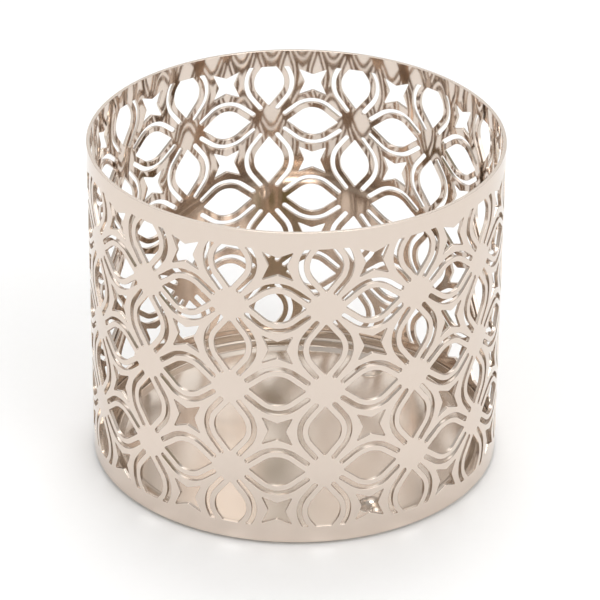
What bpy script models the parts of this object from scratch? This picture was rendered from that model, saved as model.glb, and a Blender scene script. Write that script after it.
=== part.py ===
# Three-wick candle holder: a pierced sheet sleeve and a pressed base pan inside
# its foot, with three bumps pressed up for a candle jar to stand on.
# Metres, +Z up, origin at the middle of the underside.

import math

import bmesh
import bpy
from mathutils import Matrix, Vector
from mathutils.geometry import delaunay_2d_cdt

# Sleeve: one strip of sheet, pierced flat, then rolled and joined end to end.
SLEEVE_DIAMETER = 0.1100
SLEEVE_HEIGHT = 0.0908
SLEEVE_SHEET = 0.0010
BORDER_HEIGHT = 0.0048
FOOT_ABOVE_PAN_UNDERSIDE = 0.0008

# The pattern: columns round the sleeve, rows of crossings where four petals meet,
# and how much of the outermost petals is kept past their middles.
COLUMN_COUNT = 14
ROW_COUNT = 3
FIRST_COLUMN_ANGLE = math.radians(-81.74)
EDGE_PETAL_REACH = 0.00475
RIM_POINTS_PER_COLUMN = 4

# Petals: the metal between a crossing and the tips around it, the slot that
# follows each side of a petal, and the room kept from the slots to a star's middle.
TIP_TO_CROSSING_ACROSS = 0.00494
TIP_TO_CROSSING_UP = 0.00455
PETAL_KNEE_SHARE = 0.28
PETAL_TO_SLOT_WEB = 0.0015
SLOT_WIDTH = 0.0013
SLOT_PAST_TIP = 0.0009
SLOT_TO_STAR_ACROSS = 0.00524
SLOT_TO_STAR_UP = 0.00485
STAR_TIP = 0.0040
STAR_WAIST = 0.0023

# Base pan: pressed sheet with a turned-up flange and one raised ring.
PAN_TO_SLEEVE_GAP = 0.0003
PAN_SHEET = 0.0005
FLANGE_HEIGHT = 0.0035
FLANGE_CORNER_RADIUS = 0.0010
FLANGE_CORNER_STEPS = 3
RING_INSIDE_PAN_EDGE = 0.0055
RING_WIDTH = 0.0034
RING_FLAT_WIDTH = 0.0005
RING_RISE = 0.0011
PAN_SIDES = 84

# Jar bumps: domes pressed up out of the pan's floor, evenly spaced on one circle.
BUMP_COUNT = 3
BUMP_DIAMETER = 0.0076
BUMP_HEIGHT = 0.0022
BUMP_TO_RING_GAP = 0.0011
FIRST_BUMP_ANGLE = math.radians(59.6)
BUMP_SIDES = 32
BUMP_STEPS = 6

# Points closer than this are one point; the fill leaves out openings inside the outline.
MERGE_DISTANCE = 1e-6
FILL_WITH_HOLES = 2

# Sizes that follow from those above.
sleeve_radius = SLEEVE_DIAMETER / 2
strip_length = math.pi * SLEEVE_DIAMETER
column_pitch = strip_length / COLUMN_COUNT
lowest_petal_height = BORDER_HEIGHT + EDGE_PETAL_REACH
row_pitch = (SLEEVE_HEIGHT - 2 * lowest_petal_height) / ROW_COUNT
slot_band = PETAL_TO_SLOT_WEB + SLOT_WIDTH
pan_radius = sleeve_radius - SLEEVE_SHEET - PAN_TO_SLEEVE_GAP
ring_radius = pan_radius - RING_INSIDE_PAN_EDGE
bump_circle_radius = ring_radius - RING_WIDTH / 2 - BUMP_TO_RING_GAP - BUMP_DIAMETER / 2
bump_sphere_radius = ((BUMP_DIAMETER / 2) ** 2 + BUMP_HEIGHT ** 2) / (2 * BUMP_HEIGHT)


class Petal:
    """A petal's half length and half width, and the slant of its straight flanks."""

    def __init__(self, half_length, half_width):
        self.half_length = half_length
        self.half_width = half_width
        self.knee = PETAL_KNEE_SHARE * half_length
        self.slant = math.atan2(half_width, half_length - self.knee)

    def opening(self):
        """The petal's own outline: two tips and four knees, as (along, across)."""
        along, across, knee = self.half_length, self.half_width, self.knee
        return [(along, 0), (knee, across), (-knee, across), (-along, 0), (-knee, -across), (knee, -across)]

    def offset_edge(self, distance, middle):
        """End point and knee of a line parallel to one side, at a distance from it."""
        end = self.half_length + SLOT_PAST_TIP
        drop = math.tan(self.slant) * (self.half_length - end) + middle / math.cos(self.slant)
        shift = distance - middle
        end_point = (end + shift * math.sin(self.slant), drop + shift * math.cos(self.slant))
        knee_point = (self.knee + distance * math.tan(self.slant / 2), self.half_width + distance)
        return end_point, knee_point

    def slot(self):
        """The slot beside the petal, bent round it like a parallel line."""
        middle = PETAL_TO_SLOT_WEB + SLOT_WIDTH / 2
        near_end, near_knee = self.offset_edge(PETAL_TO_SLOT_WEB, middle)
        far_end, far_knee = self.offset_edge(slot_band, middle)
        half = [near_end, near_knee]
        back = [far_knee, far_end]
        near_edge = half + [(-along, across) for along, across in reversed(half)]
        far_edge = [(-along, across) for along, across in reversed(back)] + back
        return near_edge + far_edge


across_petal = Petal(
    column_pitch / 2 - TIP_TO_CROSSING_ACROSS,
    row_pitch / 2 - SLOT_TO_STAR_UP - slot_band,
)
upright_petal = Petal(
    row_pitch / 2 - TIP_TO_CROSSING_UP,
    column_pitch / 2 - SLOT_TO_STAR_ACROSS - slot_band,
)


def new_collection(name):
    collection = bpy.data.collections.new(name)
    bpy.context.scene.collection.children.link(collection)
    return collection


def new_material(name, color, roughness, metallic):
    material = bpy.data.materials.new(name)
    material.use_nodes = True
    shader = material.node_tree.nodes["Principled BSDF"]
    shader.inputs["Base Color"].default_value = (*color, 1.0)
    shader.inputs["Roughness"].default_value = roughness
    shader.inputs["Metallic"].default_value = metallic
    return material


def laid_across(outline, x, z, side=1):
    """An outline given along and across a petal that lies along the strip."""
    return [(x + along, z + side * across) for along, across in outline]


def stood_up(outline, x, z, side=1):
    """The same outline for a petal that stands along the strip's height."""
    return [(x + side * across, z + along) for along, across in outline]


def star(x, z):
    """Four tips on the diagonals and four waists between them."""
    corners = []
    for quarter in range(4):
        turn = quarter * math.pi / 2
        tip = turn + math.pi / 4
        corners.append((x + STAR_WAIST * math.cos(turn), z + STAR_WAIST * math.sin(turn)))
        corners.append((x + STAR_TIP * math.sqrt(2) * math.cos(tip), z + STAR_TIP * math.sqrt(2) * math.sin(tip)))
    return corners


def cut_level(outline, level, keep):
    """The part of an outline above (keep=1) or below (keep=-1) a level line."""
    kept = []
    for start, end in zip(outline, outline[1:] + outline[:1]):
        start_in = keep * (start[1] - level) >= 0
        end_in = keep * (end[1] - level) >= 0
        if start_in:
            kept.append(start)
        if start_in != end_in:
            share = (level - start[1]) / (end[1] - start[1])
            kept.append((start[0] + share * (end[0] - start[0]), level))
    return kept


def inside_borders(outline):
    """An outline cut flat where it would run into the plain borders."""
    above_foot = cut_level(outline, BORDER_HEIGHT, 1)
    return cut_level(above_foot, SLEEVE_HEIGHT - BORDER_HEIGHT, -1)


def notched_end():
    """The strip's left end from foot to rim, with half an upright petal per half row."""
    points = []
    for row in range(ROW_COUNT + 1):
        height = lowest_petal_height + row * row_pitch
        petal = inside_borders(stood_up(upright_petal.opening(), 0, height))
        points += sorted([point for point in petal if point[0] >= 0], key=lambda point: point[1])
    return with_petal_ends(points)


def with_petal_ends(points):
    """Petals that are cut flat start and end on the strip's own end line."""
    foot = [(0, points[0][1])] if points[0][0] > 0 else []
    rim = [(0, points[-1][1])] if points[-1][0] > 0 else []
    return foot + points + rim


def strip_edge():
    """The strip's outer edge: foot, right end, rim, left end."""
    rim_points = COLUMN_COUNT * RIM_POINTS_PER_COLUMN
    foot = [(strip_length * step / rim_points, 0) for step in range(rim_points + 1)]
    rim = [(x, SLEEVE_HEIGHT) for x, _ in reversed(foot)]
    left = notched_end()
    right = [(strip_length - x, z) for x, z in left]
    return foot + right + rim + list(reversed(left))


def openings():
    """Every opening that lies wholly inside the strip."""
    outlines = []
    for row in range(ROW_COUNT + 1):
        petal_height = lowest_petal_height + row * row_pitch
        for column in range(COLUMN_COUNT):
            between = (column + 0.5) * column_pitch
            outlines.append(star(between, petal_height))
            if column > 0:
                outlines.append(stood_up(upright_petal.opening(), column * column_pitch, petal_height))
            outlines.append(stood_up(upright_petal.slot(), column * column_pitch, petal_height, 1))
            outlines.append(stood_up(upright_petal.slot(), (column + 1) * column_pitch, petal_height, -1))
            if row < ROW_COUNT:
                crossing_height = petal_height + row_pitch / 2
                outlines.append(laid_across(across_petal.opening(), between, crossing_height))
                outlines.append(laid_across(across_petal.slot(), between, crossing_height, 1))
                outlines.append(laid_across(across_petal.slot(), between, crossing_height, -1))
    return [inside_borders(outline) for outline in outlines]


def filled_sheet(outlines):
    """The flat sheet inside the first outline and outside the others, in short triangles."""
    points = [Vector(point) for outline in outlines for point in outline]
    loops = []
    for outline in outlines:
        first = sum(len(loop) for loop in loops)
        loops.append(list(range(first, first + len(outline))))
    corners, _, triangles, *_ = delaunay_2d_cdt(points, [], loops, FILL_WITH_HOLES, MERGE_DISTANCE)
    mesh = bpy.data.meshes.new("sheet")
    mesh.from_pydata([(x, 0, z) for x, z in corners], [], triangles)
    return mesh


def on_strip_end(face):
    """True for the wall faces at the strip's two ends, which meet once it is rolled."""
    at_left = all(vert.co.x < MERGE_DISTANCE for vert in face.verts)
    at_right = all(vert.co.x > strip_length - MERGE_DISTANCE for vert in face.verts)
    return at_left or at_right


def make_sleeve(collection, material):
    """Pierce the flat strip, give it its thickness, roll it and join its two ends."""
    mesh = filled_sheet([strip_edge()] + openings())
    shape = bmesh.new()
    shape.from_mesh(mesh)
    thick = bmesh.ops.extrude_face_region(shape, geom=shape.faces[:], use_keep_orig=True)
    for item in thick["geom"]:
        if isinstance(item, bmesh.types.BMVert):
            item.co.y = SLEEVE_SHEET
    bmesh.ops.delete(shape, geom=[face for face in shape.faces if on_strip_end(face)], context="FACES_ONLY")
    for vert in shape.verts:
        angle = FIRST_COLUMN_ANGLE + vert.co.x / sleeve_radius
        radius = sleeve_radius - vert.co.y
        vert.co = (radius * math.cos(angle), radius * math.sin(angle), vert.co.z)
    bmesh.ops.remove_doubles(shape, verts=shape.verts, dist=MERGE_DISTANCE)
    bmesh.ops.recalc_face_normals(shape, faces=shape.faces)
    shape.to_mesh(mesh)
    shape.free()
    sleeve = add_piece("pierced_sleeve", mesh, collection, material)
    sleeve.location.z = FOOT_ABOVE_PAN_UNDERSIDE
    return sleeve


def add_piece(name, mesh, collection, material):
    mesh.name = name
    mesh.materials.clear()
    mesh.materials.append(material)
    mesh.shade_smooth()
    mesh.set_sharp_from_angle(angle=math.radians(35))
    piece = bpy.data.objects.new(name, mesh)
    collection.objects.link(piece)
    return piece


def turned_piece(name, profile, sides, collection, material):
    """A closed profile, from the axis out along the top and back below, turned by a Screw."""
    mesh = bpy.data.meshes.new(name)
    edges = [(index, index + 1) for index in range(len(profile) - 1)]
    mesh.from_pydata([(radius, 0, height) for radius, height in profile], edges, [])
    piece = add_piece(name, mesh, collection, material)
    turn = piece.modifiers.new("turn", "SCREW")
    turn.steps = sides
    turn.render_steps = sides
    turn.use_merge_vertices = True
    turn.merge_threshold = MERGE_DISTANCE
    return piece


def corner(centre_radius, centre_height, radius, outward):
    """A quarter round from the floor up to the flange, on its inner or outer side."""
    steps = [step / FLANGE_CORNER_STEPS * math.pi / 2 for step in range(FLANGE_CORNER_STEPS + 1)]
    arc = [(centre_radius + radius * math.sin(a), centre_height - radius * math.cos(a)) for a in steps]
    return arc if outward else list(reversed(arc))


def make_flat_pan(collection, material):
    """Floor, raised ring, rounded corner and upright flange, one sheet thick."""
    corner_radius = pan_radius - PAN_SHEET - FLANGE_CORNER_RADIUS
    corner_height = PAN_SHEET + FLANGE_CORNER_RADIUS
    ring = [
        (ring_radius - RING_WIDTH / 2, 0),
        (ring_radius - RING_FLAT_WIDTH / 2, RING_RISE),
        (ring_radius + RING_FLAT_WIDTH / 2, RING_RISE),
        (ring_radius + RING_WIDTH / 2, 0),
    ]
    top = [(0, PAN_SHEET)]
    top += [(radius, PAN_SHEET + rise) for radius, rise in ring]
    top += corner(corner_radius, corner_height, FLANGE_CORNER_RADIUS, True)
    top += [(pan_radius - PAN_SHEET, FLANGE_HEIGHT)]
    underside = [(pan_radius, FLANGE_HEIGHT)]
    underside += corner(corner_radius, corner_height, FLANGE_CORNER_RADIUS + PAN_SHEET, False)
    underside += [(radius, rise) for radius, rise in reversed(ring)]
    underside += [(0, 0)]
    return turned_piece("base_pan", top + underside, PAN_SIDES, collection, material)


def make_domes(sphere_radius, foot_height, collection, material):
    """One mesh of the bumps' domes, each a part of a sphere down to the foot height."""
    centre_height = PAN_SHEET + BUMP_HEIGHT - bump_sphere_radius
    widest = math.acos((foot_height - centre_height) / sphere_radius)
    steps = [step / BUMP_STEPS * widest for step in range(BUMP_STEPS + 1)]
    profile = [(sphere_radius * math.sin(a), centre_height + sphere_radius * math.cos(a)) for a in steps]
    profile.append((0, foot_height))
    dome = turned_piece("dome", profile, BUMP_SIDES, collection, material)
    shapes = bmesh.new()
    for number in range(BUMP_COUNT):
        angle = FIRST_BUMP_ANGLE + number * 2 * math.pi / BUMP_COUNT
        place = (bump_circle_radius * math.cos(angle), bump_circle_radius * math.sin(angle), 0)
        mesh = applied_mesh(dome)
        mesh.transform(Matrix.Translation(place))
        shapes.from_mesh(mesh)
    bpy.data.objects.remove(dome)
    shapes.to_mesh(mesh)
    shapes.free()
    return add_piece("domes", mesh, collection, material)


def applied_mesh(piece):
    """The piece's mesh as its modifiers leave it."""
    return bpy.data.meshes.new_from_object(piece.evaluated_get(bpy.context.evaluated_depsgraph_get()))


def combine(piece, other, operation):
    """Joins the other shape to the piece or cuts it away, and removes it."""
    step = piece.modifiers.new(operation.lower(), "BOOLEAN")
    step.operation = operation
    step.object = other
    piece.data = applied_mesh(piece)
    piece.modifiers.clear()
    bpy.data.objects.remove(other)


def make_pan(collection, material):
    """The flat pan with its bumps: domes joined on above, and hollows one sheet inside them below."""
    pan = make_flat_pan(collection, material)
    above = make_domes(bump_sphere_radius, PAN_SHEET / 2, collection, material)
    combine(pan, above, "UNION")
    below = make_domes(bump_sphere_radius - PAN_SHEET, -PAN_SHEET / 2, collection, material)
    combine(pan, below, "DIFFERENCE")
    return pan


def main():
    for item in list(bpy.data.objects):
        bpy.data.objects.remove(item)
    holder = new_collection("candle_holder")
    polished = new_material("champagne_nickel", (0.78, 0.70, 0.62), 0.08, 1.0)
    satin = new_material("satin_nickel", (0.62, 0.55, 0.47), 0.30, 1.0)
    make_sleeve(holder, polished)
    make_pan(holder, satin)


main()
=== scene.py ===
import math

import bpy
import numpy as np
from mathutils import Matrix, Vector
from mathutils.geometry import delaunay_2d_cdt


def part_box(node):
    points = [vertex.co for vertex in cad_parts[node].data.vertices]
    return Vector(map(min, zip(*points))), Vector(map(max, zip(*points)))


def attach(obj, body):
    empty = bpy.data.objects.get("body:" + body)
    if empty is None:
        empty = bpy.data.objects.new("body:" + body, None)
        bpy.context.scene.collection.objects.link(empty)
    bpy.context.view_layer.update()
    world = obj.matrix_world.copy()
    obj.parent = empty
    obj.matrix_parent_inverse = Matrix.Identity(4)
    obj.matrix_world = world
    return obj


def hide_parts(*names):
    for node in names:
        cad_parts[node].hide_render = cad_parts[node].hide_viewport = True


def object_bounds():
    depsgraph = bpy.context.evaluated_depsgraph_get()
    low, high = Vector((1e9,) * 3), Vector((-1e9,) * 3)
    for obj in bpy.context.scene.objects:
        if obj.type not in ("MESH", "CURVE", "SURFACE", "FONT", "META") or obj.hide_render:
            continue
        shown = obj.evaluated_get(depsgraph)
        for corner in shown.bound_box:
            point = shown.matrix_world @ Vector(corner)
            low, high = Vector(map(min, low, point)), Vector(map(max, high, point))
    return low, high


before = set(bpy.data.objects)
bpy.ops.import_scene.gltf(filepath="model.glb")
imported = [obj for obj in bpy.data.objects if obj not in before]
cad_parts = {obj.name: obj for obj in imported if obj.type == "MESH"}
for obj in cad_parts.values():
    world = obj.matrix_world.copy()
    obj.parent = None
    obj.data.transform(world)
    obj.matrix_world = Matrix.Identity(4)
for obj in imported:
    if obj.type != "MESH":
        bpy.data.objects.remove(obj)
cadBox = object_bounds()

millimetre = 0.001
samePlace = 1e-7  # two points nearer than this, in metres, are taken as one
onLine = 1e-8  # a point nearer to a line than this, in metres, lies on it
weldStep = 2e-7  # points in the same cell of a grid this fine, in metres, become one
weldShift = 0.31  # moves that grid by a share of a cell, so that no seam lies between two cells


# Small helpers that every piece uses

def linearColor(hexColor):
    # sRGB hex to linear: c / 12.92 below 0.04045, else ((c + 0.055) / 1.055) ** 2.4
    channels = [int(hexColor[start:start + 2], 16) / 255 for start in (0, 2, 4)]
    return [c / 12.92 if c <= 0.04045 else ((c + 0.055) / 1.055) ** 2.4 for c in channels] + [1.0]


def addNode(tree, kind, settings=None, **inputs):
    # Adds one node; settings are its own properties, inputs are numbers, colours or links by socket name
    # or, where two sockets share a name, by i and their number
    node = tree.nodes.new("ShaderNode" + kind)
    for name, value in (settings or {}).items():
        setattr(node, name, value)
    for name, value in inputs.items():
        key = int(name[1:]) if name[0] == "i" and name[1:].isdigit() else name.replace("_", " ")
        if isinstance(value, bpy.types.NodeSocket):
            tree.links.new(value, node.inputs[key])
        else:
            node.inputs[key].default_value = value
    return node


def newMaterial(name):
    # An empty node tree, ready for a material's own nodes
    material = bpy.data.materials.new(name)
    material.use_nodes = True
    material.node_tree.nodes.clear()
    return material, material.node_tree


def meshPiece(name, points, triangles, normals=None, materials=(), materialIndex=None):
    # Puts whole arrays into a mesh, with exact normals where the surface has a formula for them
    mesh = bpy.data.meshes.new(name)
    mesh.from_pydata(points.tolist(), [], triangles.tolist())
    mesh.shade_smooth()
    for material in materials:
        mesh.materials.append(material)
    if materialIndex is not None:
        mesh.polygons.foreach_set("material_index", materialIndex.astype(np.int32))
    if normals is not None:
        mesh.normals_split_custom_set_from_vertices(normals.tolist())
    mesh.update()
    piece = bpy.data.objects.new(name, mesh)
    bpy.context.scene.collection.objects.link(piece)
    return piece


def joined(*parts):
    # Puts meshes of points, normals, triangles and flags one after the other.
    # A flag is the number of its triangle's material
    points, normals, tris, flags, base = [], [], [], [], 0
    for part in parts:
        points.append(part[0])
        normals.append(part[1])
        tris.append(part[2] + base)
        flags.append(part[3])
        base += len(part[0])
    return np.concatenate(points), np.concatenate(normals), np.concatenate(tris), np.concatenate(flags)


def welded(points, normals, tris, flags):
    # Points that fall together become one, and triangles that close up go
    keys = np.round(points / weldStep + weldShift).astype(np.int64)
    _, first, back = np.unique(keys, axis=0, return_index=True, return_inverse=True)
    tris = back.reshape(-1)[tris]
    whole = (tris[:, 0] != tris[:, 1]) & (tris[:, 1] != tris[:, 2]) & (tris[:, 0] != tris[:, 2])
    return points[first], normals[first], tris[whole], flags[whole]


def pathEdges(paths, closed):
    # Index pairs along paths whose points stand one after the other in an array.
    # A closed path also joins its last point to its first
    edges, first = [], 0
    for path, isLoop in zip(paths, closed):
        index = np.arange(first, first + len(path))
        pairs = np.stack([index, np.roll(index, -1)], axis=1)
        edges.append(pairs if isLoop else pairs[:-1])
        first += len(path)
    return np.concatenate(edges)


def triangulated(points, edges):
    # Fills the points' hull with short triangles that keep the edges; given points keep their exact place
    wholeHull = 0
    corners, _, triangles, sources, *_ = delaunay_2d_cdt(
        [Vector(point) for point in points.tolist()], edges.tolist(), [], wholeHull, samePlace)
    exact = [points[source[0]] if source else tuple(corner) for corner, source in zip(corners, sources)]
    return np.array(exact), np.array(triangles)


def insideOutline(points, outline):
    # Even-odd rule: a point is inside when a level ray to its right crosses the outline
    # an odd number of times
    start, end = outline, np.roll(outline, -1, axis=0)
    px, pz = points[:, 0][:, None], points[:, 1][:, None]
    crosses = (start[:, 1] > pz) != (end[:, 1] > pz)
    level = end[:, 1] == start[:, 1]  # never crossed, so any rise will do
    rise = np.where(level, 1.0, end[:, 1] - start[:, 1])
    at = start[:, 0] + (pz - start[:, 1]) / rise * (end[:, 0] - start[:, 0])
    return (crosses & (px < at)).sum(1) % 2 == 1


def outsideAll(points, outlines):
    # True where a point lies in none of the outlines
    outside = np.ones(len(points), bool)
    for outline in outlines:
        outside &= ~insideOutline(points, outline)
    return outside


# Materials

# A pattern's size is the width of its cells in object space, and its noise scale is one over that.
# The cut's grooves and the satin grain are about 0.1 mm wide in real metal, too fine to show at this
# distance, so both are drawn coarser. A pattern's height is how far its bump would reach at full strength
metalLook = {
    "polished": {
        "tone": "DDD0C5",
        "deepTone": "DACCC0",
        "roughness": (0.03, 0.06),
        "waves": 11.1 * millimetre,
        "waveHeight": 0.2 * millimetre,
        "waveStrength": 0.05,
        "haze": 3.85 * millimetre,
    },
    "cutEdge": {
        "tone": "D5CBC1",
        "deepTone": "CFC1B4",
        "roughness": 0.26,
        "grooves": 0.4 * millimetre,
        "grooveHeight": 0.05 * millimetre,
        "grooveStrength": 0.15,
    },
    "satin": {
        "tone": "CCC1B6",
        "deepTone": "C3B7AB",
        "roughness": (0.19, 0.24),
        "clouds": 16.7 * millimetre,
        "grain": 0.556 * millimetre,
        "grainHeight": 0.04 * millimetre,
        "grainStrength": 0.10,
        "burnishedRoughness": 0.16,
        "burnishStartHeight": 0.6 * millimetre,
        "burnishFullHeight": 0.9 * millimetre,
    },
}


def champagnePlate(tree, look, tonePattern, roughness, bump):
    # What the three finishes share: nickel plate whose champagne tint runs from one tone to a deeper one
    tint = addNode(tree, "Mix", {"data_type": "RGBA"}, Factor=tonePattern,
                   A=linearColor(look["tone"]), B=linearColor(look["deepTone"]))
    metal = addNode(tree, "BsdfPrincipled", Base_Color=tint.outputs[2], Metallic=1.0,
                    Roughness=roughness, Normal=bump.outputs["Normal"])
    addNode(tree, "OutputMaterial", Surface=metal.outputs["BSDF"])


def polishedChampagneNickel():
    # The plate over polished steel sheet: a mirror, a little wavy from rolling and hazy from polishing
    look = metalLook["polished"]
    clearest, haziest = look["roughness"]
    material, tree = newMaterial("polishedChampagneNickel")
    place = addNode(tree, "TexCoord").outputs["Object"]
    waves = addNode(tree, "TexNoise", Vector=place, Scale=1 / look["waves"], Detail=2.0, Roughness=0.5)
    haze = addNode(tree, "TexNoise", Vector=place, Scale=1 / look["haze"], Detail=4.0, Roughness=0.6)
    rough = addNode(tree, "MapRange", Value=haze.outputs["Fac"], To_Min=clearest, To_Max=haziest)
    bump = addNode(tree, "Bump", Height=waves.outputs["Fac"], Strength=look["waveStrength"],
                   Distance=look["waveHeight"])
    champagnePlate(tree, look, haze.outputs["Fac"], rough.outputs["Result"], bump)
    return material


def platedCutEdge():
    # The plate over a cut edge, which the cut's fine grooves keep satin
    look = metalLook["cutEdge"]
    material, tree = newMaterial("platedCutEdge")
    place = addNode(tree, "TexCoord").outputs["Object"]
    grooves = addNode(tree, "TexNoise", Vector=place, Scale=1 / look["grooves"], Detail=2.0, Roughness=0.5)
    bump = addNode(tree, "Bump", Height=grooves.outputs["Fac"], Strength=look["grooveStrength"],
                   Distance=look["grooveHeight"])
    champagnePlate(tree, look, grooves.outputs["Fac"], look["roughness"], bump)
    return material


def satinChampagneNickel():
    # The plate over a pressed steel pan, left satin: soft broad reflections, a little cloudy, with the
    # raised ring and bumps burnished by the press tool
    look = metalLook["satin"]
    smoothest, roughest = look["roughness"]
    material, tree = newMaterial("satinChampagneNickel")
    place = addNode(tree, "TexCoord").outputs["Object"]
    cloud = addNode(tree, "TexNoise", Vector=place, Scale=1 / look["clouds"], Detail=3.0, Roughness=0.55)
    grain = addNode(tree, "TexNoise", Vector=place, Scale=1 / look["grain"], Detail=3.0, Roughness=0.6)
    height = addNode(tree, "SeparateXYZ", Vector=place).outputs["Z"]
    raised = addNode(tree, "MapRange", Value=height, From_Min=look["burnishStartHeight"],
                     From_Max=look["burnishFullHeight"])
    flat = addNode(tree, "MapRange", Value=cloud.outputs["Fac"], To_Min=smoothest, To_Max=roughest)
    rough = addNode(tree, "MapRange", Value=raised.outputs["Result"], To_Min=flat.outputs["Result"],
                    To_Max=look["burnishedRoughness"])
    bump = addNode(tree, "Bump", Height=grain.outputs["Fac"], Strength=look["grainStrength"],
                   Distance=look["grainHeight"])
    champagnePlate(tree, look, cloud.outputs["Fac"], rough.outputs["Result"], bump)
    return material


# Pierced sleeve: one pattern tile, mirrored and repeated, then rolled round the axis

# A petal lies between each two crossings, level or upright, with a curved slot on both its sides, and a
# four-pointed star fills the space between four petals. Across is round the sleeve, up is along its axis
sleeveShape = {
    "columns": 14,  # of crossings, round the sleeve
    "rows": 3,  # of crossings, from the foot to the rim
    "firstColumnDegrees": -81.74,
    "sheet": 1.0 * millimetre,
    "border": 4.8 * millimetre,
    "keptPastEdgePetal": 4.75 * millimetre,  # from an edge petal's middle to where the border cuts it off
    "tipToCrossingAcross": 4.94 * millimetre,
    "tipToCrossingUp": 4.55 * millimetre,
    "petalToSlotWeb": 1.5 * millimetre,
    "slotWidth": 1.3 * millimetre,
    "slotPastTip": 0.9 * millimetre,
    "slotEndRoundness": 0.999,  # at 1 the two arcs of a slot's end would meet in one point
    "slotToStarAcross": 5.24 * millimetre,
    "slotToStarUp": 4.85 * millimetre,
    "straightShareOfPetal": 0.534,
    "petalTipRadius": 0.30 * millimetre,
    "starTip": 4.0 * millimetre,
    "starWaistAcross": 2.25 * millimetre,
    "starWaistUp": 2.40 * millimetre,
    "starTipRadius": 0.15 * millimetre,
    "starWaistRadius": 0.8 * millimetre,
    "cornerRadiusAtBorder": 0.15 * millimetre,
    "edgeBreak": 0.13 * millimetre,
    "arcSteps": 6,
    "fillSpacing": 1.5 * millimetre,
    "fillClearShare": 0.4,  # how near to an opening a fill point may stand, as a share of their spacing
}

sleeveLow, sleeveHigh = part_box("pierced_sleeve")
sleeveRadius = (sleeveHigh[0] - sleeveLow[0]) / 2
sleeveHeight = sleeveHigh[2] - sleeveLow[2]
halfPitchAcross = math.pi * sleeveRadius / sleeveShape["columns"]
edgePetalHeight = sleeveShape["border"] + sleeveShape["keptPastEdgePetal"]
halfPitchUp = (sleeveHeight - 2 * edgePetalHeight) / sleeveShape["rows"] / 2
slotBand = sleeveShape["petalToSlotWeb"] + sleeveShape["slotWidth"]


def flankSlant(halfLength, halfWidth, straightShare):
    # Slant t of a petal's straight flanks: tan(t) * straight + tan(t / 2) * arc reach = half width,
    # found by scaling tan(t) until it fits
    straight = straightShare * halfLength
    reach = halfLength - straight
    slant = math.atan2(halfWidth, halfLength)
    rounds = 30  # more than enough to settle
    for _ in range(rounds):
        width = math.tan(slant) * straight + math.tan(slant / 2) * reach
        slant = math.atan(math.tan(slant) * halfWidth / width)
    return slant


def roundedOutline(corners, radii, steps):
    # Each corner becomes an arc that touches both its sides:
    # centre = corner + bisector * radius / sin(half the corner's angle)
    corners = np.array(corners, float)
    radii = np.array(radii, float)[:, None]
    toBefore = np.roll(corners, 1, axis=0) - corners
    toAfter = np.roll(corners, -1, axis=0) - corners
    toBefore /= np.linalg.norm(toBefore, axis=1, keepdims=True)
    toAfter /= np.linalg.norm(toAfter, axis=1, keepdims=True)
    halfAngle = np.arccos(np.clip((toBefore * toAfter).sum(1, keepdims=True), -1, 1)) / 2
    bisector = toBefore + toAfter
    bisector /= np.linalg.norm(bisector, axis=1, keepdims=True)
    centre = corners + bisector * radii / np.sin(halfAngle)
    first = corners + toBefore * radii / np.tan(halfAngle) - centre
    last = corners + toAfter * radii / np.tan(halfAngle) - centre
    turn = np.arctan2(first[:, 0] * last[:, 1] - first[:, 1] * last[:, 0], (first * last).sum(1))
    angle = turn[:, None] * np.linspace(0, 1, steps + 1)[None, :]
    x = first[:, :1] * np.cos(angle) - first[:, 1:] * np.sin(angle) + centre[:, :1]
    z = first[:, :1] * np.sin(angle) + first[:, 1:] * np.cos(angle) + centre[:, 1:]
    outline = np.stack([x.ravel(), z.ravel()], axis=1)
    gap = np.linalg.norm(outline - np.roll(outline, 1, axis=0), axis=1)
    return outline[gap > samePlace]


class PetalPlan:
    # A petal's corners and those of the slot beside it, given along and across the petal.
    # At a knee its straight flank turns into the round middle
    def __init__(self, halfLength, halfWidth):
        self.length = halfLength
        self.width = halfWidth
        self.slant = flankSlant(halfLength, halfWidth, sleeveShape["straightShareOfPetal"])
        self.knee = halfLength - halfWidth / math.tan(self.slant)
        self.kneeRadius = self.knee / math.tan(self.slant / 2)

    def flank(self, along, distance):
        # Height above the petal's axis of a line parallel to its flank
        return math.tan(self.slant) * (self.length - along) + distance / math.cos(self.slant)

    def petal(self):
        knee, width = self.knee, self.width
        corners = [(knee, width), (-knee, width), (-self.length, 0),
                   (-knee, -width), (knee, -width), (self.length, 0)]
        radii = [self.kneeRadius, self.kneeRadius, sleeveShape["petalTipRadius"]] * 2
        return roundedOutline(corners, radii, sleeveShape["arcSteps"])

    def slot(self):
        # Its two sides run parallel to the petal's edge and its ends are nearly half round
        near, far = sleeveShape["petalToSlotWeb"], slotBand
        lean = math.tan(self.slant / 2)
        nearKnee, farKnee = self.knee + near * lean, self.knee + far * lean
        nearSide, farSide = self.width + near, self.width + far
        middle, reach = (near + far) / 2, self.length + sleeveShape["slotPastTip"]
        centre = np.array([reach, self.flank(reach, middle)])
        outward = np.array([math.sin(self.slant), math.cos(self.slant)]) * (far - middle)
        nearEnd, farEnd = centre - outward, centre + outward
        corners = [(-nearEnd[0], nearEnd[1]), (-nearKnee, nearSide), (nearKnee, nearSide), nearEnd,
                   farEnd, (farKnee, farSide), (-farKnee, farSide), (-farEnd[0], farEnd[1])]
        end = sleeveShape["slotWidth"] / 2 * sleeveShape["slotEndRoundness"]
        nearRadius, farRadius = self.kneeRadius + near, self.kneeRadius + far
        radii = [end, nearRadius, nearRadius, end, end, farRadius, farRadius, end]
        return roundedOutline(corners, radii, sleeveShape["arcSteps"])


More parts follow.
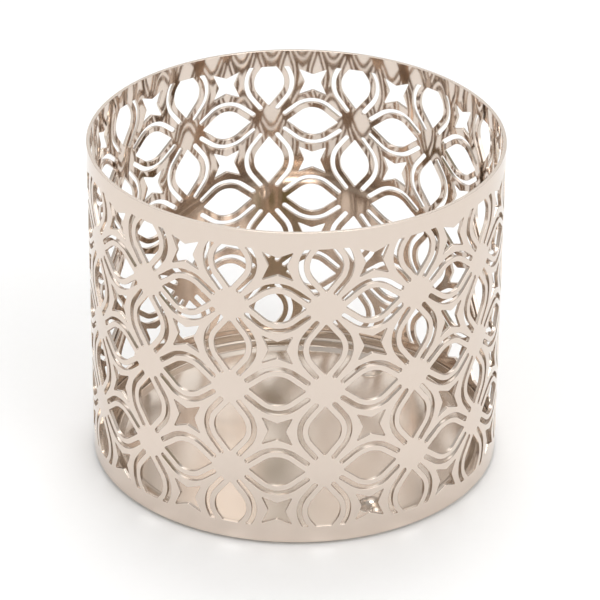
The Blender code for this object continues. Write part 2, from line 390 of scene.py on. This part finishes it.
acrossPetal = PetalPlan(halfPitchAcross - sleeveShape["tipToCrossingAcross"],
                        halfPitchUp - sleeveShape["slotToStarUp"] - slotBand)
uprightPetal = PetalPlan(halfPitchUp - sleeveShape["tipToCrossingUp"],
                         halfPitchAcross - sleeveShape["slotToStarAcross"] - slotBand)


def crossed(outline, axis, line):
    # Adds a point where an edge crosses the line on which the given axis has the value `line`
    side = outline[:, axis] - line
    after = np.roll(side, -1)
    at = np.flatnonzero((side * after < 0) & (np.minimum(abs(side), abs(after)) > onLine))
    share = side[at] / (side[at] - after[at])
    new = outline[at] + share[:, None] * (np.roll(outline, -1, axis=0)[at] - outline[at])
    return np.insert(outline, at + 1, new, axis=0)


def cutSquare(outline, cut):
    # Cuts off what lies past `cut` along the petal and rounds the two new corners a little
    outline = crossed(outline, 0, cut)
    outline = outline[outline[:, 0] < cut + onLine]
    radii = np.where(abs(outline[:, 0] - cut) < onLine, sleeveShape["cornerRadiusAtBorder"], 0.0)
    return roundedOutline(outline, radii, sleeveShape["arcSteps"])


def placed(outline, x, z, upright=False, flipAlong=1, flipAcross=1):
    # Moves an outline given along and across a petal to its place in the strip
    outline = outline * [flipAlong, flipAcross]
    return (outline[:, ::-1] if upright else outline) + [x, z]


def starOutline(x, z):
    # Four tips on the diagonals and four waists between them, all rounded
    tip, across, up = sleeveShape["starTip"], sleeveShape["starWaistAcross"], sleeveShape["starWaistUp"]
    corners = [(across, 0), (tip, tip), (0, up), (-tip, tip),
               (-across, 0), (-tip, -tip), (0, -up), (tip, -tip)]
    radii = [sleeveShape["starWaistRadius"], sleeveShape["starTipRadius"]] * 4
    return roundedOutline(np.array(corners) + [x, z], radii, sleeveShape["arcSteps"])


def tileOutlines():
    # The tile runs from a column of crossings (x = 0) to half a pitch beside it, and from the foot to mid
    # height. In steps of half a pitch up from the edge petal, upright petals and stars lie on the even
    # ones and level petals on the odd ones, and the last step is at mid height
    middle, cut, rows = halfPitchAcross, sleeveShape["keptPastEdgePetal"], sleeveShape["rows"]
    outlines = [
        placed(cutSquare(uprightPetal.petal(), cut), 0, edgePetalHeight, upright=True, flipAlong=-1),
        placed(cutSquare(uprightPetal.slot(), cut), 0, edgePetalHeight, upright=True, flipAlong=-1),
        starOutline(middle, edgePetalHeight),
    ]
    for step in range(1, rows + 1):
        height = edgePetalHeight + step * halfPitchUp
        if step % 2 == 0:
            outlines.append(placed(uprightPetal.petal(), 0, height, upright=True))
            outlines.append(placed(uprightPetal.slot(), 0, height, upright=True))
            outlines.append(starOutline(middle, height))
        else:
            outlines.append(placed(acrossPetal.petal(), middle, height))
            outlines.append(placed(acrossPetal.slot(), middle, height, flipAcross=-1))
        if step % 2 == 1 and step < rows:
            outlines.append(placed(acrossPetal.slot(), middle, height))
    return outlines


def withCrossings(outline):
    # Adds a point where an edge crosses one of the tile's mirror lines
    for axis, line in ((0, 0.0), (0, halfPitchAcross), (1, sleeveHeight / 2)):
        outline = crossed(outline, axis, line)
    return outline


def turnedOutwards(outline):
    # Side normals that point out of the metal, into the opening: the tangent turned a quarter
    tangent = np.roll(outline, -1, axis=0) - np.roll(outline, 1, axis=0)
    tangent /= np.linalg.norm(tangent, axis=1, keepdims=True)
    area = (outline[:, 0] * np.roll(outline[:, 1], -1) - np.roll(outline[:, 0], -1) * outline[:, 1]).sum()
    inward = np.stack([-tangent[:, 1], tangent[:, 0]], axis=1)
    return inward * math.copysign(1, area)


def keptRun(outline):
    # What the tile holds of an outline: its path, its side normals and whether it is the whole loop
    normals = turnedOutwards(outline)
    keep = (outline[:, 0] > -samePlace) & (outline[:, 0] < halfPitchAcross + samePlace)
    keep &= outline[:, 1] < sleeveHeight / 2 + samePlace
    if keep.all():
        return outline, normals, True
    first = int(np.argmax(keep & ~np.roll(keep, 1)))
    order = np.roll(np.arange(len(outline)), -first)[:keep.sum()]
    return outline[order], normals[order], False


def footRun():
    # The sleeve's lower edge across the tile, with side normals that point down
    spaces = int(halfPitchAcross / sleeveShape["fillSpacing"])
    x = np.linspace(0, halfPitchAcross, spaces + 1)
    return np.stack([x, np.zeros_like(x)], axis=1), np.tile([0.0, -1.0], (len(x), 1)), False


def tileFace(outlines, runs):
    # The sheet's flat face, which ends the width of the broken edge back from each opening and from the
    # foot. Points on a grid inside it keep its triangles short
    spacing, bevel = sleeveShape["fillSpacing"], sleeveShape["edgeBreak"]
    width, height = halfPitchAcross, sleeveHeight / 2
    openings = [outline - turnedOutwards(outline) * bevel for outline in outlines]
    paths = [path - normals * bevel for path, normals, _ in runs]
    boundary = np.concatenate(paths)
    gridX = np.linspace(0, width, int(width / spacing) + 1)
    gridZ = np.linspace(bevel, height, int(height / spacing) + 1)
    grid = np.stack(np.meshgrid(gridX, gridZ, indexing="ij"), axis=-1).reshape(-1, 2)
    distance = np.sqrt(((grid[:, None] - boundary[None]) ** 2).sum(-1)).min(1)
    free = (distance > sleeveShape["fillClearShare"] * spacing) & outsideAll(grid, openings)
    edges = pathEdges(paths, [closed for _, _, closed in runs])
    corners, triangles = triangulated(np.concatenate([boundary, grid[free]]), edges)
    centres = corners[triangles].mean(1)
    inTile = ((centres > 0) & (centres < [width, height])).all(1)
    return corners, triangles[inTile & outsideAll(centres, openings)]


def wallStrip(path, sideNormals, closed):
    # Four lines run along an opening, at growing depths in the sheet: the edge of the outer face, the two
    # edges of the straight cut wall, and the edge of the inner face. The strips beside the wall are the
    # broken edges, and only the wall between them has the cut's own finish
    bevel, sheet, count = sleeveShape["edgeBreak"], sleeveShape["sheet"], len(path)
    back = path - sideNormals * bevel
    depths = (0.0, bevel, sheet - bevel, sheet)
    points = [np.column_stack([line, np.full(count, depth)])
              for line, depth in zip((back, path, path, back), depths)]
    side = np.column_stack([sideNormals, np.zeros(count)])
    out = np.tile([0.0, 0.0, 1.0], (count, 1))
    index = np.arange(count)
    follow = np.roll(index, -1) if closed else index[1:]
    here = index if closed else index[:-1]
    # The triangles turn the way that makes the wall face along its side normals
    step, normal = path[follow[0]] - path[here[0]], sideNormals[here[0]]
    facing = step[0] * normal[1] - step[1] * normal[0] > 0
    cutStrip = 1  # the one between the two broken edges
    tris, flags = [], []
    for strip in range(len(depths) - 1):
        a, b = strip * count + here, strip * count + follow
        c, d = a + count, b + count
        corners = [(a, b, d), (a, d, c)] if facing else [(b, a, c), (b, c, d)]
        tris += [np.stack(corner, axis=1) for corner in corners]
        flags.append(np.full(2 * len(here), float(strip == cutStrip)))
    normals = np.concatenate([out, side, side, -out])
    return np.concatenate(points), normals, np.concatenate(tris), np.concatenate(flags)


def sleeveTile():
    # A quarter of one column: both faces and the walls between them, as (x, height, depth in the sheet).
    # Normals are (across, up, out)
    outlines = [withCrossings(outline) for outline in tileOutlines()]
    runs = [keptRun(outline) for outline in outlines] + [footRun()]
    corners, triangles = tileFace(outlines, runs)
    out, flags = np.tile([0.0, 0.0, 1.0], (len(corners), 1)), np.zeros(len(triangles))
    outer = np.column_stack([corners, np.zeros(len(corners))])
    inner = np.column_stack([corners, np.full(len(corners), sleeveShape["sheet"])])
    return joined((outer, out, triangles, flags), (inner, -out, triangles[:, ::-1], flags),
                  *[wallStrip(*run) for run in runs])


def mirrored(tile, axis, about):
    # A mirror copy in the flat strip turns its triangles over
    places, normals, tris, flags = tile
    places, normals = places.copy(), normals.copy()
    places[:, axis] = 2 * about - places[:, axis]
    normals[:, axis] *= -1
    return places, normals, tris[:, ::-1], flags


def rolled(places, normals):
    # angle = first column + x / radius; a point's radius is the outer radius less its depth in the sheet
    angle = math.radians(sleeveShape["firstColumnDegrees"]) + places[:, 0] / sleeveRadius
    radius = sleeveRadius - places[:, 2]
    cos, sin = np.cos(angle), np.sin(angle)
    points = np.column_stack([radius * cos, radius * sin, places[:, 1] + sleeveLow[2]])
    across, up, out = normals.T
    turned = np.column_stack([out * cos - across * sin, out * sin + across * cos, up])
    return points, turned


def makeSleeve():
    # The tile and its mirror copies make a column, the columns a strip, and the strip a cylinder
    tile = sleeveTile()
    column = joined(tile, mirrored(tile, 0, 0.0))
    column = joined(column, mirrored(column, 1, sleeveHeight / 2))
    strip = []
    for number in range(sleeveShape["columns"]):
        places = column[0].copy()
        places[:, 0] += number * 2 * halfPitchAcross
        strip.append((places, *column[1:]))
    places, normals, tris, flags = joined(*strip)
    points, normals = rolled(places, normals)
    points, normals, tris, flags = welded(points, normals, tris, flags)
    piece = meshPiece("latticeSleeve", points, tris, normals,
                      [polishedChampagneNickel(), platedCutEdge()], flags)
    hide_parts("pierced_sleeve")
    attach(piece, "root")
    print("sleeve:", len(points), "points,", len(tris), "triangles")


makeSleeve()


# Base pan: a turned profile round a flat floor with pressed bumps, one sheet thick

panShape = {
    "sheet": 0.5 * millimetre,
    "seatReach": 0.22 * millimetre,  # the flange reaches this far past the frame's, so that it looks seated
    "cornerRadius": 1.0 * millimetre,
    "ringInsideEdge": 5.5 * millimetre,
    "ringWidth": 3.4 * millimetre,
    "ringRise": 1.1 * millimetre,
    "ringFootRadius": 0.4 * millimetre,
    "ringCrestRadius": 0.9 * millimetre,
    "bumpCount": 3,
    "firstBumpDegrees": 59.6,
    "bumpWidth": 8.4 * millimetre,
    "bumpHeight": 2.2 * millimetre,
    "bumpFootRadius": 1.0 * millimetre,
    "bumpToRing": 0.7 * millimetre,
    "turnSteps": 336,
    "bumpTurnSteps": 72,
    "arcSteps": 8,
    "fillSpacing": 3.0 * millimetre,
}

panLow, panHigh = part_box("base_pan")
cadPanRadius = (panHigh[0] - panLow[0]) / 2
panRadius = cadPanRadius + panShape["seatReach"]
panHeight = panHigh[2] - panLow[2]
ringRadius = cadPanRadius - panShape["ringInsideEdge"]
floorRadius = ringRadius - panShape["ringWidth"] / 2
bumpRadius = panShape["bumpWidth"] / 2
bumpCircleRadius = floorRadius - panShape["bumpToRing"] - bumpRadius


def arc(centre, radius, start, end, steps):
    # Points and normals on a circle, as rows of (across, up, normal across, normal up): centre +
    # radius * (sin, cos) of an angle from the upright, with a radius below 0 where the arc is hollow
    angle = np.linspace(start, end, steps + 1)
    facing = np.stack([np.sin(angle), np.cos(angle)], axis=1)
    return np.column_stack([np.array(centre) + radius * facing, facing])


def ramp(width, rise, footRadius, crestRadius):
    # From a level foot up to a level crest: a hollow arc, a straight of slope s and a round arc.
    # s = atan2(rise - f - c, width) + asin((f + c) / d), with d the distance between the arcs' centres
    both = footRadius + crestRadius
    between = max(math.hypot(width, rise - both), both)
    slope = math.atan2(rise - both, width) + math.asin(both / between)
    steps = panShape["arcSteps"]
    foot = arc((0, footRadius), -footRadius, 0, -slope, steps)
    crest = arc((width, rise - crestRadius), crestRadius, -slope, 0, steps)
    return np.concatenate([foot, crest])


def turnedOver(profile, about):
    # The same profile run the other way round a line at `about`
    return profile[::-1] * [-1, 1, -1, 1] + [2 * about, 0, 0, 0]


def underside(profile):
    # The parallel surface one sheet below: point - normal * sheet, facing the other way
    below = profile.copy()
    below[:, :2] -= profile[:, 2:] * panShape["sheet"]
    below[:, 2:] *= -1
    return below[::-1]


def panProfile():
    # From the floor's edge over the ring, the corner and the flange's lip, and back below
    sheet, corner, steps = panShape["sheet"], panShape["cornerRadius"], panShape["arcSteps"]
    rise = ramp(panShape["ringWidth"] / 2, panShape["ringRise"], panShape["ringFootRadius"],
                panShape["ringCrestRadius"]) + [floorRadius, sheet, 0, 0]
    cornerCentre = (panRadius - sheet - corner, sheet + corner)
    bend = arc(cornerCentre, -corner, 0, -math.pi / 2, steps)
    top = np.concatenate([rise, turnedOver(rise, ringRadius)[1:], bend])
    lipCentre = (panRadius - sheet / 2, panHeight - sheet / 2)
    lip = arc(lipCentre, sheet / 2, -math.pi / 2, math.pi / 2, steps)
    return np.concatenate([top, lip, underside(top)])


def turnedSurface(profile, centre, steps):
    # Turns rows of (radius, height, normal out, normal up) round an upright axis
    angle = np.linspace(0, 2 * math.pi, steps, endpoint=False)
    cos, sin = np.cos(angle)[None], np.sin(angle)[None]
    radius, height, out, up = (profile[:, column, None] for column in range(4))
    points = np.stack([centre[0] + radius * cos, centre[1] + radius * sin, height + 0 * cos], axis=-1)
    normals = np.stack([out * cos, out * sin, up + 0 * cos], axis=-1)
    row = np.arange(len(profile) - 1)[:, None] * steps
    here, follow = np.arange(steps)[None], np.roll(np.arange(steps), -1)[None]
    a, b = (row + here).ravel(), (row + follow).ravel()
    tris = np.concatenate([np.stack([a, a + steps, b + steps], 1), np.stack([a, b + steps, b], 1)])
    return points.reshape(-1, 3), normals.reshape(-1, 3), tris, np.zeros(len(tris))


def circle(centre, radius, count, start=0.0):
    # Evenly spaced points: centre + radius * (cos, sin) of the start angle + number * 360 / count
    angle = start + 2 * math.pi * np.arange(count) / count
    return np.column_stack([centre[0] + radius * np.cos(angle), centre[1] + radius * np.sin(angle)])


bumpCentres = circle((0, 0), bumpCircleRadius, panShape["bumpCount"],
                     math.radians(panShape["firstBumpDegrees"]))


def panFloor():
    # The flat floor between the ring's foot and the bumps' feet, filled once and used above and below.
    # Points on a grid, kept a little clear of both, keep its triangles short
    spacing = panShape["fillSpacing"]
    clearOfRing, clearOfBump = spacing / 2, spacing / 3
    feet = [circle(centre, bumpRadius, panShape["bumpTurnSteps"]) for centre in bumpCentres]
    loops = [circle((0, 0), floorRadius, panShape["turnSteps"])] + feet
    reach = np.arange(-floorRadius, floorRadius, spacing)
    grid = np.stack(np.meshgrid(reach, reach, indexing="ij"), axis=-1).reshape(-1, 2)
    free = np.hypot(*grid.T) < floorRadius - clearOfRing
    for centre in bumpCentres:
        free &= np.hypot(*(grid - centre).T) > bumpRadius + clearOfBump
    edges = pathEdges(loops, [True] * len(loops))
    points, tris = triangulated(np.concatenate([*loops, grid[free]]), edges)
    tris = tris[outsideAll(points[tris].mean(1), feet)]
    above = np.column_stack([points, np.full(len(points), panShape["sheet"])])
    below = np.column_stack([points, np.zeros(len(points))])
    up = np.tile([0.0, 0.0, 1.0], (len(points), 1))
    flags = np.zeros(len(tris))
    return joined((above, up, tris, flags), (below, -up, tris[:, ::-1], flags))


def bumpProfile():
    # From the crest down to the floor. The two radii add up to that of a ball through the foot circle and
    # the crest, (r * r + h * h) / 2h, so the hollow foot and the round crest meet with no straight between
    height, footRadius = panShape["bumpHeight"], panShape["bumpFootRadius"]
    ballRadius = (bumpRadius ** 2 + height ** 2) / (2 * height)
    rise = ramp(bumpRadius, height, footRadius, ballRadius - footRadius)
    return turnedOver(rise, bumpRadius) + [-bumpRadius, panShape["sheet"], 0, 0]


def makePan():
    # The turned edge, the floor, and each bump with its hollow underside
    parts = [turnedSurface(panProfile(), (0, 0), panShape["turnSteps"]), panFloor()]
    bump = bumpProfile()
    for centre in bumpCentres:
        parts.append(turnedSurface(bump, centre, panShape["bumpTurnSteps"]))
        parts.append(turnedSurface(underside(bump), centre, panShape["bumpTurnSteps"]))
    points, normals, tris, _ = welded(*joined(*parts))
    points[:, 2] += panLow[2]
    piece = meshPiece("pressedPan", points, tris, normals, [satinChampagneNickel()])
    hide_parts("base_pan")
    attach(piece, "root")
    print("pan:", len(points), "points,", len(tris), "triangles")


makePan()


# Floor, light and camera

studio = {
    "floorSize": 4.0,
    "floorDrop": 0.2 * millimetre,  # keeps the paper just clear of the pan's underside
    "floorColor": "FAFAFA",
    "paperToothColor": "FCFCFC",
    "paperTooth": 2.5 * millimetre,  # real paper's is far finer and wouldn't show
    "roomLevel": 0.59,
    "sweepLevel": 1.0,
    "sweepTopDegrees": 7,
    "sweepEdgeDegrees": 5,
    # Angles in degrees; azimuth runs from +X towards +Y, and the photograph was taken from -90.
    # A light is full up to its half angle and fades out over its soft edge. The two gaps are dark parts of
    # the room, whose tint gives the reflections on the inside walls their olive tone
    "softLights": {
        "overheadBox": {"level": 7.3, "azimuth": 86, "elevation": 71, "halfAngle": 8, "softEdge": 5},
        "leftPanel": {"level": 1.45, "azimuth": 235, "elevation": 15, "halfAngle": 18, "softEdge": 41},
        "frontRightBox": {"level": 2.8, "azimuth": 305, "elevation": 32, "halfAngle": 5, "softEdge": 42},
        "backPanel": {"level": 1.57, "azimuth": 90, "elevation": 45, "halfAngle": 16, "softEdge": 5},
        "frontGap": {"level": 0.24, "azimuth": 279, "elevation": 22, "halfAngle": 11, "softEdge": 13,
                     "tint": "FFF09A"},
        "rightGap": {"level": 0.2, "azimuth": 24, "elevation": 48, "halfAngle": 8, "softEdge": 6,
                     "tint": "FFF09A"},
    },
}

# The photograph's own view, worked out from the rim and foot ellipses and the lattice crossings
photoView = {
    "elevationDegrees": 28.7425,
    "rollDegrees": 0.418,
    "distance": 0.88383,
    "target": (0.001225, 0, 0.04266),
    "focalPixels": 3287.59,
    "framePixels": 600,
    "sensorMillimetres": 36.0,
    "clipStart": 10 * millimetre,
}


def makeFloor():
    # Matte white paper sweep with a faint tooth
    material, tree = newMaterial("whitePaperSweep")
    place = addNode(tree, "TexCoord").outputs["Object"]
    tooth = addNode(tree, "TexNoise", Vector=place, Scale=1 / studio["paperTooth"], Detail=3.0)
    tint = addNode(tree, "Mix", {"data_type": "RGBA"}, Factor=tooth.outputs["Fac"],
                   A=linearColor(studio["floorColor"]), B=linearColor(studio["paperToothColor"]))
    paper = addNode(tree, "BsdfDiffuse", Color=tint.outputs[2])
    addNode(tree, "OutputMaterial", Surface=paper.outputs["BSDF"])
    half = studio["floorSize"] / 2
    points = np.array([(-half, -half, 0), (half, -half, 0), (half, half, 0), (-half, half, 0)])
    floor = meshPiece("paperFloor", points, np.array([(0, 1, 2), (0, 2, 3)]), None, [material])
    floor.location.z = cadBox[0][2] - studio["floorDrop"]


def litColor(level, tint="FFFFFF"):
    # A light's colour: its tint, turned to linear, times its level
    return [level * part for part in linearColor(tint)[:3]] + [1.0]


def makeWorld():
    # A dim room with soft light panels and two dark gaps, over a white sweep that meets the floor
    world = bpy.data.worlds.new("studioWorld")
    bpy.context.scene.world = world
    world.use_nodes = True
    tree = world.node_tree
    tree.nodes.clear()
    direction = addNode(tree, "TexCoord").outputs["Generated"]

    def blend(angle, inner, outer, before, after):
        # Runs smoothly from `before` at the outer angle to `after` at the inner one
        share = addNode(tree, "MapRange", {"interpolation_type": "SMOOTHSTEP"}, Value=angle,
                        From_Min=math.radians(outer), From_Max=math.radians(inner), To_Min=0.0, To_Max=1.0)
        mix = addNode(tree, "Mix", {"data_type": "RGBA"}, Factor=share.outputs["Result"], A=before, B=after)
        return mix.outputs[2]

    def angleFrom(azimuth, elevation):
        # Angle between the direction looked in and the given one: arccos of their dot product
        turn, lift = math.radians(azimuth), math.radians(elevation)
        aim = (math.cos(lift) * math.cos(turn), math.cos(lift) * math.sin(turn), math.sin(lift))
        dot = addNode(tree, "VectorMath", {"operation": "DOT_PRODUCT"}, i0=direction, i1=aim)
        return addNode(tree, "Math", {"operation": "ARCCOSINE"}, i0=dot.outputs["Value"]).outputs[0]

    sky = litColor(studio["roomLevel"])
    for light in studio["softLights"].values():
        angle = angleFrom(light["azimuth"], light["elevation"])
        color = litColor(light["level"], light.get("tint", "FFFFFF"))
        sky = blend(angle, light["halfAngle"], light["halfAngle"] + light["softEdge"], sky, color)
    # The sweep fills the view from straight down to a little above level
    sweepReach = 90 + studio["sweepTopDegrees"]
    sky = blend(angleFrom(0, -90), sweepReach, sweepReach + studio["sweepEdgeDegrees"], sky,
                litColor(studio["sweepLevel"]))
    background = addNode(tree, "Background", Color=sky, Strength=1.0)
    addNode(tree, "OutputWorld", Surface=background.outputs[0])


def makeCamera():
    # Stands back from the target on the -Y side, lifted by the elevation and rolled about its own axis
    elevation = math.radians(photoView["elevationDegrees"])
    camera = bpy.data.cameras.new("camera")
    camera.sensor_width = photoView["sensorMillimetres"]
    camera.lens = photoView["focalPixels"] / photoView["framePixels"] * photoView["sensorMillimetres"]
    camera.clip_start = photoView["clipStart"]
    back = Vector((0, -math.cos(elevation), math.sin(elevation))) * photoView["distance"]
    place = Matrix.Translation(Vector(photoView["target"]) + back)
    tilt = Matrix.Rotation(math.pi / 2 - elevation, 4, "X")
    roll = Matrix.Rotation(math.radians(photoView["rollDegrees"]), 4, "Z")
    item = bpy.data.objects.new("camera", camera)
    item.matrix_world = place @ tilt @ roll
    bpy.context.scene.collection.objects.link(item)
    bpy.context.scene.camera = item


makeFloor()
makeWorld()
makeCamera()
bpy.context.scene.view_settings.view_transform = "Standard"
print("stage ready")
